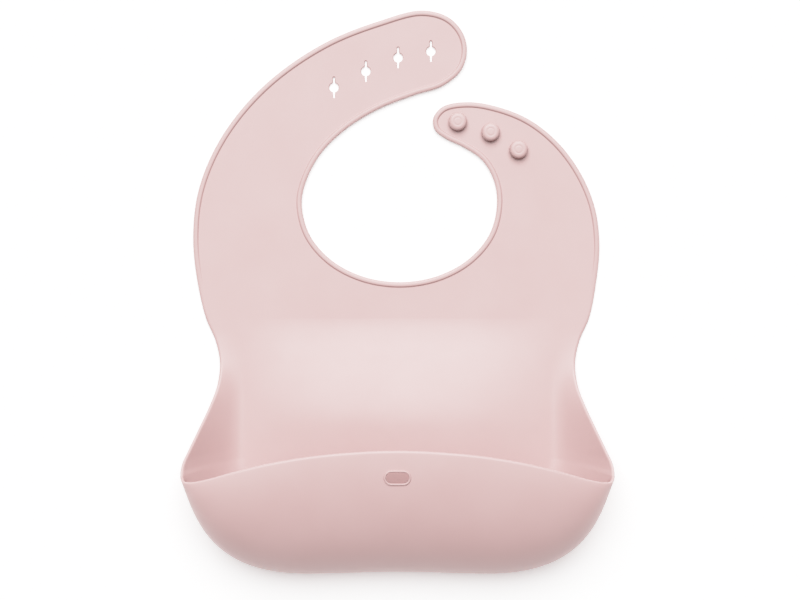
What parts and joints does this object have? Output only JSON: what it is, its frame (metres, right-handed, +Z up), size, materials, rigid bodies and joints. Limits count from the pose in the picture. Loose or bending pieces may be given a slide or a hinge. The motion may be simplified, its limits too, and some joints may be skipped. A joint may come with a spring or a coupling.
{
  "type": "silicone bib",
  "caption": "Moulded silicone feeding bib with a curved neck, a catch pocket at the bottom and two straps that fasten with studs through button holes.",
  "frame": {"origin": "under the middle of the bib's box, on the surface that it lies on", "axes": "+Y towards the strap ends, +Z up out of the front face, +X to the side of the strap with the studs"},
  "size_m": [0.2272, 0.2991, 0.0501],
  "materials": {
    "silicone": "matte"
  },
  "bodies": {
    "chest": {"chest_panel": "silicone", "chest_rim_left": "silicone", "chest_rim_right": "silicone", "neck_rim": "silicone"},
    "hole_strap_base_body": {"hole_strap_base": "silicone", "hole_strap_rim_outer": "silicone", "hole_strap_rim_inner": "silicone"},
    "hole_strap_tip_body": {"hole_strap_tip": "silicone", "hole_strap_tip_rim": "silicone"},
    "stud_strap_base_body": {"stud_strap_base": "silicone", "stud_strap_rim_outer": "silicone", "stud_strap_rim_inner": "silicone", "stud_inner": "silicone"},
    "stud_strap_tip_body": {"stud_strap_tip": "silicone", "stud_strap_tip_rim": "silicone", "stud_middle": "silicone", "stud_outer": "silicone"},
    "scoop": {"pocket_back": "silicone", "apron_rim_left": "silicone", "apron_rim_right": "silicone"},
    "pocket_wall": {"pocket_front": "silicone", "pocket_lip": "silicone", "slot_collar": "silicone"}
  },
  "joints": [
    {"name": "hole_strap_shoulder", "type": "hinge", "parent": "chest", "child": "hole_strap_base_body", "pos_m": [-0.0775, 0.046, 0.0009], "axis": [1, 0, 0], "range_deg": [0, 60], "stiffness_Nm_per_rad": 0.004},
    {"name": "hole_strap_mid", "type": "hinge", "parent": "hole_strap_base_body", "child": "hole_strap_tip_body", "pos_m": [-0.0365, 0.079, 0.0009], "axis": [0.7691, -0.6391, 0], "range_deg": [0, 45], "stiffness_Nm_per_rad": 0.004},
    {"name": "stud_strap_shoulder", "type": "hinge", "parent": "chest", "child": "stud_strap_base_body", "pos_m": [0.077, 0.046, 0.0009], "axis": [1, 0, 0], "range_deg": [0, 60], "stiffness_Nm_per_rad": 0.004},
    {"name": "stud_strap_mid", "type": "hinge", "parent": "stud_strap_base_body", "child": "stud_strap_tip_body", "pos_m": [0.0465, 0.0685, 0.0009], "axis": [0.6916, 0.7223, 0], "range_deg": [0, 45], "stiffness_Nm_per_rad": 0.004},
    {"name": "waist_fold", "type": "hinge", "parent": "chest", "child": "scoop", "pos_m": [0, -0.014, 0.0009], "axis": [-1, 0, 0], "range_deg": [0, 75], "stiffness_Nm_per_rad": 0.01},
    {"name": "pocket_flex", "type": "hinge", "parent": "scoop", "child": "pocket_wall", "pos_m": [0, -0.1476, 0.0127], "axis": [1, 0, 0], "range_deg": [-8, 25], "stiffness_Nm_per_rad": 0.2, "springref_deg": 3.15}
  ]
}
